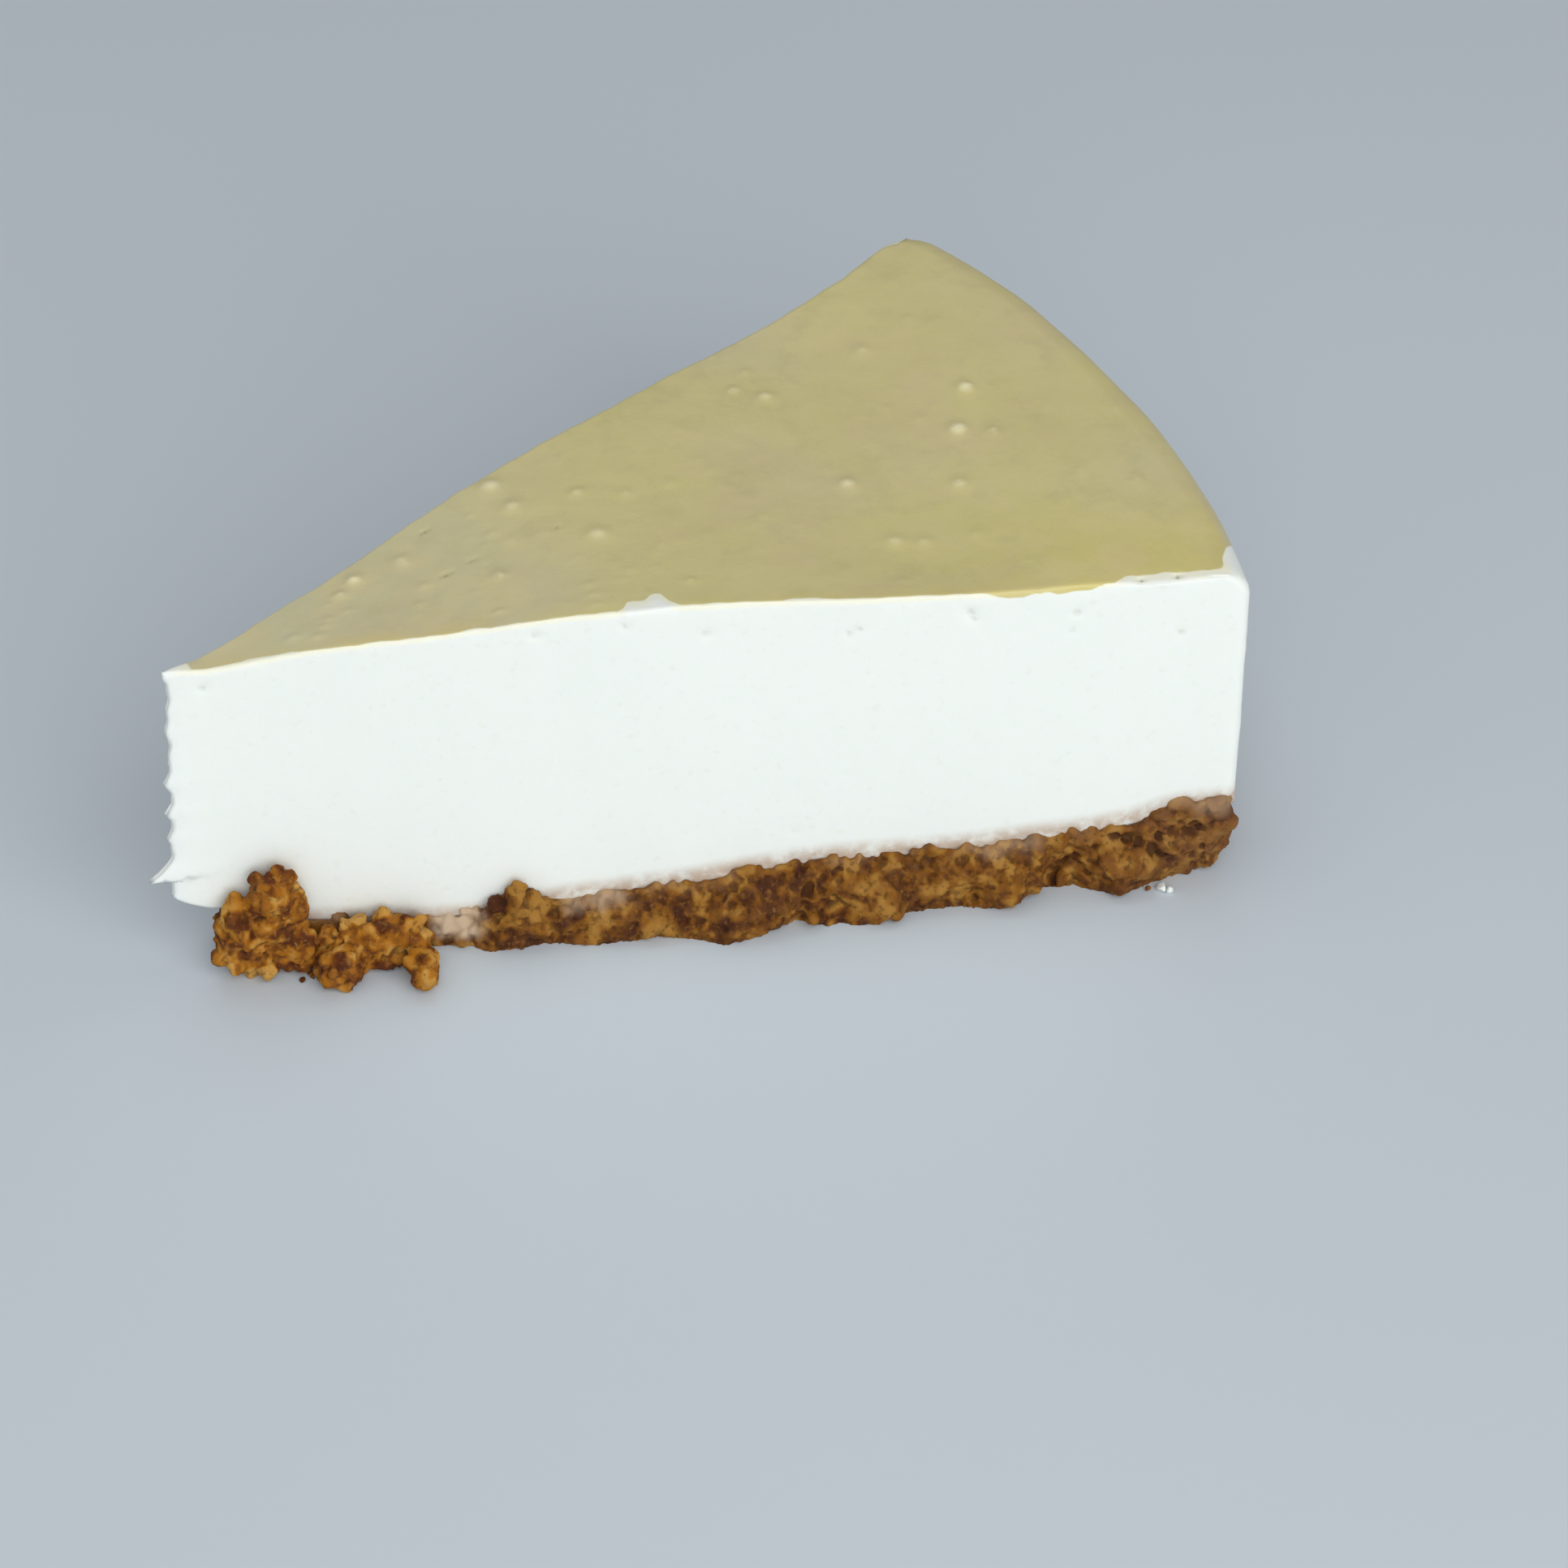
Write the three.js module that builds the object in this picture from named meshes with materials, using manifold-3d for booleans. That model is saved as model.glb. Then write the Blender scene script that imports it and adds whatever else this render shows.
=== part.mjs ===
// A slice of baked cheesecake: a wedge of pale filling on a crumb base. The base has crumbled
// along the cut, and two chunks of it have broken away beside the tip.
// Millimetres, +Z up. +X runs along the middle of the wedge from its tip to its rim, and the
// shown cut face is on the -Y side. The origin is the middle of the slice's box, on the surface
// that the slice stands on.
import * as THREE from 'three';
import { mergeVertices } from 'three/addons/utils/BufferGeometryUtils.js';
import Module from 'manifold-3d';

// Driving dimensions of the cake that the slice was cut from.
const CAKE_RADIUS = 121;
const SLICE_ANGLE = THREE.MathUtils.degToRad(38.6);
const CONTACT_GAP = 0.3;

// Height of the baked top over the surface, against the distance from the cake's centre.
const TOP_HEIGHTS = [
  { radius: 0, height: 42.3 },
  { radius: 20, height: 43.8 },
  { radius: 48, height: 45.1 },
  { radius: 100, height: 42.8 },
  { radius: 112, height: 43.7 },
  { radius: CAKE_RADIUS, height: 43.4 },
];
const TOP_TILT = 0.5; // the shown side stands this much higher than the middle
const TOP_EDGE_ROUND = 4; // round on the outer top edge

// Height of the crumb base under the filling, and near the tip that of the filling's underside.
const BASE_HEIGHTS = [
  { radius: 0, height: 8.8 },
  { radius: 14, height: 4.8 },
  { radius: 31, height: 3.4 },
  { radius: 47, height: 4.6 },
  { radius: 74, height: 6.9 },
  { radius: 86, height: 6.4 },
  { radius: 100, height: 7.4 },
  { radius: 106, height: 7.7 },
  { radius: 118, height: 10.9 },
];
const BASE_START = 4; // the base has broken back this far from the cake's centre
const TIP_OVERHANG = 12; // nearer to the centre than this, the filling's underside lifts off the base
const BASE_FOOT_ROUND = 3.6; // round on the outer bottom edge of the base
const BASE_RIM_INSET = 0.6; // the base stays this far inside the filling's outer wall

// How far the crumbled edge of the base stands out from the cut, at each lump along it.
const EDGE_SPREAD = 1.7;
const EDGE_RIPPLE = 0.8;
const RIPPLE_GRAIN = 3.1;
const BACK_RIPPLE_START = 50; // the ripple on the hidden side starts elsewhere in the noise
const RIM_FADE = 9; // the spread dies away this far before the rim
const BROKEN_SPREAD = 0.5; // beside the chunks the shown edge has broken back to this
const BROKEN_END = 33;
const BROKEN_FADE = 5;
const SHELF_FALL = 0.42; // the outer edge of the shelf is lower by this part of its height
const FRONT_LUMPS = [
  { radius: 37, width: 4.2, out: 0.8, rise: 3.6 },
  { radius: 50, width: 6, out: 1.2, rise: 0.3 },
  { radius: 64, width: 8, out: 3.2, rise: 0.2 },
  { radius: 78, width: 5, out: 2.1, rise: 0 },
  { radius: 94, width: 5, out: 2.0, rise: 0.2 },
  { radius: 101, width: 4.5, out: -2.2, rise: 0 },
  { radius: 107, width: 4, out: 0.4, rise: 0 },
];
const BACK_LUMPS = [
  { radius: 22, width: 6, out: 1.6, rise: 0.8 },
  { radius: 46, width: 8, out: 1.2, rise: 0.2 },
  { radius: 79, width: 6, out: 2.0, rise: 0.6 },
  { radius: 98, width: 5, out: 0.8, rise: 0.2 },
];

// The tip of the filling is narrow, leans outwards towards its foot and is torn into teeth.
const TIP_WIDTH_RADIUS = 1.5;
const TIP_LEAN = 2.4;
const TIP_LEAN_REACH = 14;
const TIP_SPUR = 5.2;
const TOOTH_ROOT = 3; // how far a tooth reaches back into the filling
const TEETH = [
  { height: 14.3, reach: TIP_SPUR, radius: 1.4 },
  { height: 19.5, reach: 2.1, radius: 0.8 },
  { height: 23.1, reach: 2.6, radius: 0.9 },
  { height: 27.5, reach: 2.0, radius: 0.9 },
  { height: 41.8, reach: 0.7, radius: 0.9 },
];

// Chunks: each lump is placed along the shown cut face, outwards from it and upwards.
const CHUNK_BACK = BROKEN_SPREAD + 3 * CONTACT_GAP; // nothing of a chunk is nearer to the cut
const BACK_ROUGHNESS = 0.15; // unevenness of the side that leans on the cut
const BACK_GRAIN = 1.1;
const LUMP_ROUGHNESS = 0.22;
const LUMP_GRAIN = 0.45; // of a lump's half size
const CHUNK_1_LUMPS = [
  { along: 6.1, out: 2.7, up: 5.2, size: [4.4, 1.8, 5.4] },
  { along: 9.0, out: 2.4, up: 9.3, size: [3.4, 2.0, 5.8] },
  { along: 10.7, out: 2.7, up: 4.2, size: [2.7, 1.8, 4.4] },
];
const CHUNK_2_LUMPS = [
  { along: 20.2, out: 3.2, up: 2.6, size: [6.5, 2.0, 3.2] },
  { along: 15.6, out: 5.3, up: 2.0, size: [2.8, 2.7, 2.6] },
  { along: 25.2, out: 6.4, up: 1.9, size: [1.7, 3.1, 2.5] },
];

const FILLING_SEGMENTS = [36, 8, 11];
const BASE_SEGMENTS = [54, 10, 4];
const LUMP_DETAIL = 3;
const TOOTH_SIDES = 7;

const wasm = await Module();
wasm.setup();

// Smooth steps between the stations of a table of heights.
function heightAt(stations, radius) {
  const last = stations.length - 1;
  const next = stations.findIndex((station) => station.radius > radius);
  if (next < 0) {
    return stations[last].height;
  }
  if (next === 0) {
    return stations[0].height;
  }
  const from = stations[next - 1];
  const to = stations[next];
  const part = THREE.MathUtils.smoothstep(radius, from.radius, to.radius);
  return THREE.MathUtils.lerp(from.height, to.height, part);
}

// A repeatable random number from 0 to 1 for each point of a whole-number lattice.
function latticeValue(i, j, k) {
  const value = Math.sin(i * 127.1 + j * 311.7 + k * 74.7) * 43758.5453;
  return value - Math.floor(value);
}

// Smooth noise from -1 to 1, with lumps about one grain across.
function crumbNoise(x, y, z, grain) {
  const point = [x / grain, y / grain, z / grain];
  const cell = point.map(Math.floor);
  const ease = point.map((value, axis) => THREE.MathUtils.smoothstep(value - cell[axis], 0, 1));
  let sum = 0;
  for (let corner = 0; corner < 8; corner += 1) {
    const step = [corner & 1, (corner >> 1) & 1, corner >> 2];
    const weight = step.reduce((w, s, axis) => w * (s ? ease[axis] : 1 - ease[axis]), 1);
    sum += weight * latticeValue(cell[0] + step[0], cell[1] + step[1], cell[2] + step[2]);
  }
  return 2 * sum - 1;
}

// How much a row of lumps adds at one distance from the cake's centre.
function lumpSum(lumps, radius, amount) {
  return lumps.reduce((sum, lump) => {
    const offset = (radius - lump.radius) / lump.width;
    return sum + lump[amount] * Math.exp(-2 * offset * offset);
  }, 0);
}

function polar(radius, angle) {
  return new THREE.Vector3(radius * Math.cos(angle), radius * Math.sin(angle), 0);
}

// A box whose vertices are moved by place(along, across, up), each of which runs from 0 to 1.
function shapedBox(segments, place) {
  const box = new THREE.BoxGeometry(1, 1, 1, ...segments);
  box.deleteAttribute('normal');
  box.deleteAttribute('uv');
  const geometry = mergeVertices(box);
  const position = geometry.attributes.position;
  for (let i = 0; i < position.count; i += 1) {
    const point = place(position.getX(i) + 0.5, position.getY(i) + 0.5, position.getZ(i) + 0.5);
    position.setXYZ(i, point.x, point.y, point.z);
  }
  return geometry;
}

function toSolid(geometry) {
  const mesh = new wasm.Mesh({
    numProp: 3,
    vertProperties: new Float32Array(geometry.attributes.position.array),
    triVerts: new Uint32Array(geometry.index.array),
  });
  return new wasm.Manifold(mesh);
}

function toGeometry(solid) {
  const mesh = solid.getMesh();
  const geometry = new THREE.BufferGeometry();
  geometry.setAttribute('position', new THREE.BufferAttribute(mesh.vertProperties, 3));
  geometry.setIndex(new THREE.BufferAttribute(mesh.triVerts, 1));
  geometry.computeVertexNormals();
  return geometry;
}

// Radius of the outer wall at a height, with its top edge rounded over.
function wallRadius(height, top) {
  const intoRound = Math.max(0, height - (top - TOP_EDGE_ROUND)) / TOP_EDGE_ROUND;
  return CAKE_RADIUS - TOP_EDGE_ROUND * (1 - Math.sqrt(1 - Math.min(1, intoRound) ** 2));
}

// Radius of the base's outer wall at a height, with its bottom edge rounded under.
function footRadius(height) {
  const intoRound = Math.max(0, BASE_FOOT_ROUND - height) / BASE_FOOT_ROUND;
  const inset = BASE_FOOT_ROUND * (1 - Math.sqrt(1 - intoRound ** 2));
  return CAKE_RADIUS - BASE_RIM_INSET - inset;
}

function placeFilling(along, across, up) {
  const side = 1 - 2 * across;
  const angle = -side * SLICE_ANGLE / 2;
  const evenRadius = THREE.MathUtils.lerp(TIP_WIDTH_RADIUS, CAKE_RADIUS, along);
  const top = heightAt(TOP_HEIGHTS, evenRadius) + TOP_TILT * side * along;
  const bottom = heightAt(BASE_HEIGHTS, evenRadius) + CONTACT_GAP;
  const height = THREE.MathUtils.lerp(top, bottom, (1 - up) ** 2);
  const radius = THREE.MathUtils.lerp(TIP_WIDTH_RADIUS, wallRadius(height, top), along);
  const point = polar(radius, angle);
  const nearTip = Math.max(0, 1 - (evenRadius - TIP_WIDTH_RADIUS) / TIP_LEAN_REACH);
  const fromTop = (top - height) / (top - bottom);
  point.x -= (TIP_WIDTH_RADIUS + TIP_LEAN * fromTop) * nearTip ** 2;
  point.z = height;
  return point;
}

// Torn teeth along the tip of the filling, as small cones that point away from the cake.
function tooth({ height, reach, radius }) {
  const cone = new THREE.ConeGeometry(radius, reach + TOOTH_ROOT, TOOTH_SIDES);
  cone.deleteAttribute('normal');
  cone.deleteAttribute('uv');
  cone.rotateZ(Math.PI / 2);
  cone.translate((TOOTH_ROOT - reach) / 2, 0, height);
  return toSolid(mergeVertices(cone));
}

function fillingGeometry() {
  const wedge = toSolid(shapedBox(FILLING_SEGMENTS, placeFilling));
  return toGeometry(TEETH.reduce((solid, size) => solid.add(tooth(size)), wedge));
}

// The rows of the base across the slice: a crumbled shelf outside each cut, and even steps
// under the filling between the two cuts.
function baseRow(across) {
  const rows = BASE_SEGMENTS[1];
  const row = Math.round(across * rows);
  const shelfRows = 2;
  const inner = rows - 2 * shelfRows;
  return {
    part: THREE.MathUtils.clamp((row - shelfRows) / inner, 0, 1),
    shelf: Math.max(0, shelfRows - row, row - (rows - shelfRows)) / shelfRows,
    front: row < rows / 2,
  };
}

function placeBase(along, across, up) {
  const { part, shelf, front } = baseRow(across);
  const lumps = front ? FRONT_LUMPS : BACK_LUMPS;
  const evenRadius = THREE.MathUtils.lerp(BASE_START, CAKE_RADIUS, along);
  const shelfFall = shelf === 1 ? 1 - SHELF_FALL : 1;
  const rise = shelf > 0 ? lumpSum(lumps, evenRadius, 'rise') : 0;
  const baseTop = heightAt(BASE_HEIGHTS, Math.max(evenRadius, TIP_OVERHANG));
  const height = (baseTop * shelfFall + rise) * up;
  const radius = THREE.MathUtils.lerp(BASE_START, footRadius(height), along);
  const angle = THREE.MathUtils.lerp(-SLICE_ANGLE / 2, SLICE_ANGLE / 2, part);
  const point = polar(radius, angle);
  const outward = polar(1, angle + (front ? -Math.PI / 2 : Math.PI / 2));
  const rimFade = THREE.MathUtils.smoothstep(CAKE_RADIUS - evenRadius, 0, RIM_FADE);
  const rippleStart = front ? 0 : BACK_RIPPLE_START;
  const ripple = EDGE_RIPPLE * crumbNoise(evenRadius, rippleStart, height, RIPPLE_GRAIN);
  const crumbled = EDGE_SPREAD + lumpSum(lumps, evenRadius, 'out') + ripple;
  const whole = front ? THREE.MathUtils.smoothstep(evenRadius - BROKEN_END, -BROKEN_FADE, 0) : 1;
  const spread = THREE.MathUtils.lerp(BROKEN_SPREAD, crumbled, whole);
  const shelfReach = shelf === 1 ? CONTACT_GAP + spread * rimFade : 0;
  point.addScaledVector(outward, shelf > 0 ? CONTACT_GAP + shelfReach : 0);
  point.z = height;
  return point;
}

// A rough lump: a ball of the given half sizes, roughened, flat where it meets the surface below
// it and nearly flat where it leans on the cut behind it.
function roughLump({ along, out, up, size }, seed) {
  const ball = new THREE.IcosahedronGeometry(1, LUMP_DETAIL);
  ball.deleteAttribute('normal');
  ball.deleteAttribute('uv');
  const geometry = mergeVertices(ball);
  const position = geometry.attributes.position;
  const outward = polar(1, -SLICE_ANGLE / 2 - Math.PI / 2);
  for (let i = 0; i < position.count; i += 1) {
    const point = new THREE.Vector3().fromBufferAttribute(position, i);
    const rough = 1 + LUMP_ROUGHNESS * crumbNoise(point.x + seed, point.y, point.z, LUMP_GRAIN);
    point.multiply(new THREE.Vector3(...size)).multiplyScalar(rough);
    const uneven = BACK_ROUGHNESS * (1 + crumbNoise(point.x, seed, point.z, BACK_GRAIN));
    const placed = polar(along + point.x, -SLICE_ANGLE / 2);
    placed.addScaledVector(outward, Math.max(CHUNK_BACK + uneven, out - point.y));
    position.setXYZ(i, placed.x, placed.y, Math.max(0, up + point.z));
  }
  return toSolid(geometry);
}

function chunkGeometry(lumps, seed) {
  const solids = lumps.map((lump, i) => roughLump(lump, seed + 7 * i));
  return toGeometry(solids.reduce((joined, solid) => joined.add(solid)));
}

function subPart(name, geometry, color, roughness) {
  const material = new THREE.MeshStandardMaterial({ color, roughness, metalness: 0 });
  const mesh = new THREE.Mesh(geometry, material);
  mesh.name = name;
  return mesh;
}

const slice = new THREE.Group();
slice.add(subPart('filling', fillingGeometry(), '#f0f6f0', 0.55));
slice.add(subPart('base', shapedBox(BASE_SEGMENTS, placeBase), '#74502a', 0.9));
slice.add(subPart('crumb_chunk_1', chunkGeometry(CHUNK_1_LUMPS, 0), '#8a6030', 0.9));
slice.add(subPart('crumb_chunk_2', chunkGeometry(CHUNK_2_LUMPS, 40), '#7a4a18', 0.9));
slice.position.x = -(CAKE_RADIUS - TIP_SPUR) / 2;

export default slice;
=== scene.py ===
"""A slice of baked cheesecake: pale filling with a baked skin, on a base of pressed biscuit crumb.

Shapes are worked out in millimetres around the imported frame, and become metres at the end.
+X runs along the middle of the wedge from tip to rim, and the shown cut face is on the -Y side.
"""

import itertools
import math

import bmesh
import bpy
import numpy as np
from mathutils import Matrix, Vector
from mathutils.bvhtree import BVHTree
from mathutils.kdtree import KDTree


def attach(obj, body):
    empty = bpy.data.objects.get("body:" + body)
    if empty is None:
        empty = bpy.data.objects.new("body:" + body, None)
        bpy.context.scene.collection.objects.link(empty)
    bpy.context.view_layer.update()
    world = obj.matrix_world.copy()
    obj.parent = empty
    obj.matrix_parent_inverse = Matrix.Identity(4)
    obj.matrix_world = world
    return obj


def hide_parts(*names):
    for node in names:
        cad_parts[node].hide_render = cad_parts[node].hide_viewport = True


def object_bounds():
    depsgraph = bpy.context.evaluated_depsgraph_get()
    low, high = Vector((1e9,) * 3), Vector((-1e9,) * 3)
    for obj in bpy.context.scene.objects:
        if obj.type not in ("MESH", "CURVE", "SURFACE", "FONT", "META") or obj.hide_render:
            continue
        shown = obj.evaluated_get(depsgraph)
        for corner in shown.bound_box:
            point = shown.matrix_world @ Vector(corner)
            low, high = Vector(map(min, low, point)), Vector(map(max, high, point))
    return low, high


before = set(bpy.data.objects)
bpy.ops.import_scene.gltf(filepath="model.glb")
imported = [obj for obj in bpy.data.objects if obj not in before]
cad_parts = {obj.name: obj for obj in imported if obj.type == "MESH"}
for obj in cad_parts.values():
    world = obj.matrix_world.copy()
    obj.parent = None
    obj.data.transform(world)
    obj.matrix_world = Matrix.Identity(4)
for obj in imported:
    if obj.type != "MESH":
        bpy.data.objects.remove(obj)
cad_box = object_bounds()

MM = 0.001
BODY = "root"

# The cake that the slice was cut from.
CAKE_RADIUS = 121.0
HALF_ANGLE = math.radians(38.6) / 2
TOP_EDGE_ROUND = 4.0
CAKE_CENTRE = Vector((cad_box[1].x / MM - CAKE_RADIUS, 0, 0))
# The way along the shown cut, from the tip to the rim.
SHOWN_RUN = np.array([math.cos(HALF_ANGLE), -math.sin(HALF_ANGLE), 0])
# Times this, points keep their place on the floor and lose their height.
LEVEL = np.array([1, 1, 0])

# The camera looks at a point beside the middle of the slice.
CAMERA_AZIMUTH = math.radians(-26.52)
CAMERA_ELEVATION = math.radians(39.99)
CAMERA_ROLL = math.radians(-0.42)
CAMERA_DISTANCE = 526.8
CAMERA_TARGET = CAKE_CENTRE + Vector((63.47, -23.53, 20.0))
SENSOR = 36.0
LENS = 106.2


# ---- Noise and small mesh tools ----


# Large odd numbers and shifts that scramble the whole numbers of a lattice point.
MASK = 0xFFFFFFFF
CELL_FACTORS = np.array([73856093, 19349663, 83492791])
SEED_FACTOR = 2654435761
SCRAMBLES = ((15, 2246822519), (13, 3266489917))
LAST_SHIFT = 16


def lattice(cell, seed):
    """A repeatable random number from 0 to 1 for each whole-number point."""
    mixed = np.bitwise_xor.reduce((cell * CELL_FACTORS) & MASK, axis=1)
    mixed ^= (seed * SEED_FACTOR) & MASK
    for shift, factor in SCRAMBLES:
        mixed = ((mixed ^ (mixed >> shift)) * factor) & MASK
    return (mixed ^ (mixed >> LAST_SHIFT)) / MASK


def noise(points, grain, seed=0):
    """Smooth noise from -1 to 1 at each point, with lumps about one grain across."""
    scaled = np.asarray(points, float) / grain
    cell = np.floor(scaled).astype(np.int64)
    part = scaled - cell
    part = part * part * (3 - 2 * part)
    total = np.zeros(len(scaled))
    for corner in itertools.product((0, 1), repeat=3):
        step = np.array(corner)
        weight = np.prod(np.where(step == 1, part, 1 - part), axis=1)
        total += weight * lattice(cell + step, seed)
    return 2 * total - 1


def layered_noise(points, grain, octaves, seed=0):
    """Noise with finer and fainter layers on top."""
    total = np.zeros(len(points))
    strength = 0
    for octave in range(octaves):
        weight = 0.5**octave
        total += weight * noise(points, grain * weight, seed + octave)
        strength += weight
    return total / strength


def smoothstep(low, high, value):
    part = np.clip((value - low) / (high - low), 0, 1)
    return part * part * (3 - 2 * part)


def between(stations, at, **ends):
    """Values read off a table of stations, in straight lines from one to the next."""
    return np.interp(at, list(stations), list(stations.values()), **ends)


def make_object(name, points, faces):
    """A new object from points in millimetres and faces with the same number of corners."""
    mesh = bpy.data.meshes.new(name)
    mesh.vertices.add(len(points))
    mesh.vertices.foreach_set("co", np.asarray(points, np.float32).ravel())
    mesh.loops.add(faces.size)
    mesh.loops.foreach_set("vertex_index", np.asarray(faces, np.int32).ravel())
    mesh.polygons.add(len(faces))
    starts = np.arange(len(faces), dtype=np.int32) * faces.shape[1]
    mesh.polygons.foreach_set("loop_start", starts)
    mesh.update(calc_edges=True)
    piece = bpy.data.objects.new(name, mesh)
    bpy.context.scene.collection.objects.link(piece)
    return piece


def points_of(mesh, kind="co"):
    points = np.zeros(len(mesh.vertices) * 3, np.float32)
    mesh.vertices.foreach_get(kind, points)
    return points.reshape(-1, 3).astype(float)


def normals_of(mesh):
    return points_of(mesh, "normal")


def lengths(vectors):
    """The length of each vector, never quite zero."""
    return np.maximum(np.linalg.norm(vectors, axis=1), 1e-6)


def set_points(mesh, points):
    mesh.vertices.foreach_set("co", np.asarray(points, np.float32).ravel())
    mesh.update()


def set_attribute(mesh, name, values):
    attribute = mesh.attributes.new(name, "FLOAT", "POINT")
    attribute.data.foreach_set("value", np.asarray(values, np.float32))


def apply_modifier(piece, kind, **settings):
    """Adds one modifier and replaces the piece's mesh by its result."""
    modifier = piece.modifiers.new(kind.lower(), kind)
    for name, value in settings.items():
        setattr(modifier, name, value)
    graph = bpy.context.evaluated_depsgraph_get()
    old = piece.data
    made = bpy.data.meshes.new_from_object(piece.evaluated_get(graph))
    piece.modifiers.clear()
    piece.data = made
    bpy.data.meshes.remove(old)


def keep_one_surface(mesh):
    """Drops loose specks, so that one closed surface is left."""
    work = bmesh.new()
    work.from_mesh(mesh)
    unseen = set(work.verts)
    surfaces = []
    while unseen:
        ahead = [unseen.pop()]
        surface = []
        while ahead:
            vertex = ahead.pop()
            surface.append(vertex)
            linked = {edge.other_vert(vertex) for edge in vertex.link_edges} & unseen
            unseen -= linked
            ahead.extend(linked)
        surfaces.append(surface)
    surfaces.sort(key=len)
    specks = [vertex for surface in surfaces[:-1] for vertex in surface]
    bmesh.ops.delete(work, geom=specks, context="VERTS")
    work.to_mesh(mesh)
    work.free()


def neighbour_mean(mesh, values, rounds):
    """Each vertex's value, averaged with its neighbours' a number of times."""
    edges = np.zeros(len(mesh.edges) * 2, np.int32)
    mesh.edges.foreach_get("vertices", edges)
    first, second = edges.reshape(-1, 2).T
    count = len(mesh.vertices)
    degree = np.bincount(first, minlength=count) + np.bincount(second, minlength=count)
    values = np.asarray(values, float)
    for _ in range(rounds):
        total = values.copy()
        for axis in range(values.shape[1]):
            total[:, axis] += np.bincount(first, values[second, axis], count)
            total[:, axis] += np.bincount(second, values[first, axis], count)
        values = total / (degree + 1)[:, None]
    return values


def finish_piece(piece, material, slot, *nodes):
    """Turns millimetres to metres, smooths the shading and hands the piece to the frame."""
    piece.data.transform(Matrix.Scale(MM, 4))
    piece.data.shade_smooth()
    piece.data.materials.append(material)
    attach(piece, BODY)
    if nodes:
        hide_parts(*nodes)


# ---- The frame's solids, as something to measure ----


# Vertical rays start this high or low. Their heights are smoothed over so many neighbours.
RAY_TOP = 60.0
RAY_BOTTOM = -1.0
PROFILE_START = 3.0
PROFILE_STEP = 2.0
PROFILE_SMOOTHING = 5
# How far out towards the cuts the heights are measured, as a share of the half angle.
PROFILE_LEAN = 0.9


def height_profile(tree, angle, down, radii):
    """Heights that vertical rays meet along one radius of the cake, smoothed along it."""
    start, direction = (RAY_TOP, Vector((0, 0, -1))) if down else (RAY_BOTTOM, Vector((0, 0, 1)))
    heights = []
    for radius in radii:
        x = CAKE_CENTRE.x + radius * math.cos(angle)
        hit = tree.ray_cast(Vector((x, radius * math.sin(angle), start)), direction)[0]
        heights.append(hit.z)
    kernel = np.ones(PROFILE_SMOOTHING) / PROFILE_SMOOTHING
    padded = np.pad(heights, PROFILE_SMOOTHING // 2, mode="edge")
    return np.convolve(padded, kernel, "valid")


def height_function(name, down):
    """A smooth function of distance and angle from the cake's centre, measured on a node."""
    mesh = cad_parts[name].data
    points = [vertex.co / MM for vertex in mesh.vertices]
    tree = BVHTree.FromPolygons(points, [list(face.vertices) for face in mesh.polygons])
    radii = np.arange(PROFILE_START, CAKE_RADIUS - TOP_EDGE_ROUND - 1, PROFILE_STEP)
    reach = PROFILE_LEAN * HALF_ANGLE
    front = height_profile(tree, -reach, down, radii)
    back = height_profile(tree, reach, down, radii)

    def height(radius, angle):
        side = (angle / reach + 1) / 2
        low = np.interp(radius, radii, front)
        high = np.interp(radius, radii, back)
        return low + (high - low) * side

    return height


# ---- Filling ----

# Steps along the wedge, across it and upwards, and how much finer they are near the ends.
FILLING_STEPS = (220, 112, 64)
FINER_ENDS = (0.35, 0.6, 0.5)
# The wedge is as wide at its tip as it would be this far from the cake's centre.
TIP_WIDTH_RADIUS = 1.0
# The tip stands out a little, and more towards its foot.
TIP_SETBACK = 0.25
TIP_LEAN = 2.2
TIP_LEAN_REACH = 14.0
# The underside of the tip lifts: softly over a long way, and sharply at the very tip.
TIP_LIFT = 1.7
TIP_LIFT_REACH = 14.0
TIP_CURL = 2.4
TIP_CURL_REACH = 3.5
# The filling sinks this far into its base.
FOOT_OVERLAP = 0.5
CUT_EDGE_ROUND = 0.45
# The skin starts this far behind the shown cut, and ends this far down the rim.
SKIN_SETBACK = 0.3
RIM_SKIN_DEPTH = 2.6
# The tip has no skin on it, and rises a little.
BARE_TIP = 3.2
BARE_TIP_RISE = 0.5
# Round corners of the slice, seen from above: at the shown cut and at the hidden one.
FRONT_CORNER = 1.2
BACK_CORNER = 3.8
# How far the hidden cut stands out of its plane, against the distance from the cake's centre.
HIDDEN_CUT_BOW = {
    0: 0.0, 9: -0.7, 21: -1.2, 35: -0.5, 65: -0.5,
    76: 0.0, 97: -0.6, 106: -0.9, 114: 0.5, 121: 0.9,
}
BOW_DEPTH = 9.0
# The rim wall stands this much further out towards the hidden cut.
RIM_SWELL = 1.1
RIM_SWELL_DEPTH = 6.0
# How much higher the skin stands beside the shown cut, against the distance from the centre.
SHOWN_EDGE_RISE = {
    0: 0.0, 25: 0.1, 50: 0.2, 58: 0.7, 80: 0.9,
    95: 0.6, 103: -0.2, 108: -0.7, 116: -0.6, 121: -0.3,
}
RISE_DEPTH = 7.0
# The skin hangs a little over the shown cut on this stretch.
OVERHANG_START = 86.0
OVERHANG_END = 103.5
OVERHANG = 0.9
# The skin ends this far from the rim beside the shown cut, and reaches it at the second distance.
BARE_RIM = 2.9
BARE_RIM_END = 10.0

# Teeth along the torn tip: height, how far each stands out, and half its height.
TEETH = [
    (19.5, 0.35, 0.7),
    (23.1, 0.8, 0.7),
    (27.5, 0.6, 0.8),
    (35.0, 0.2, 1.4),
    (42.0, 0.4, 0.7),
]
TOOTH_REACH = 1.6
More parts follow.
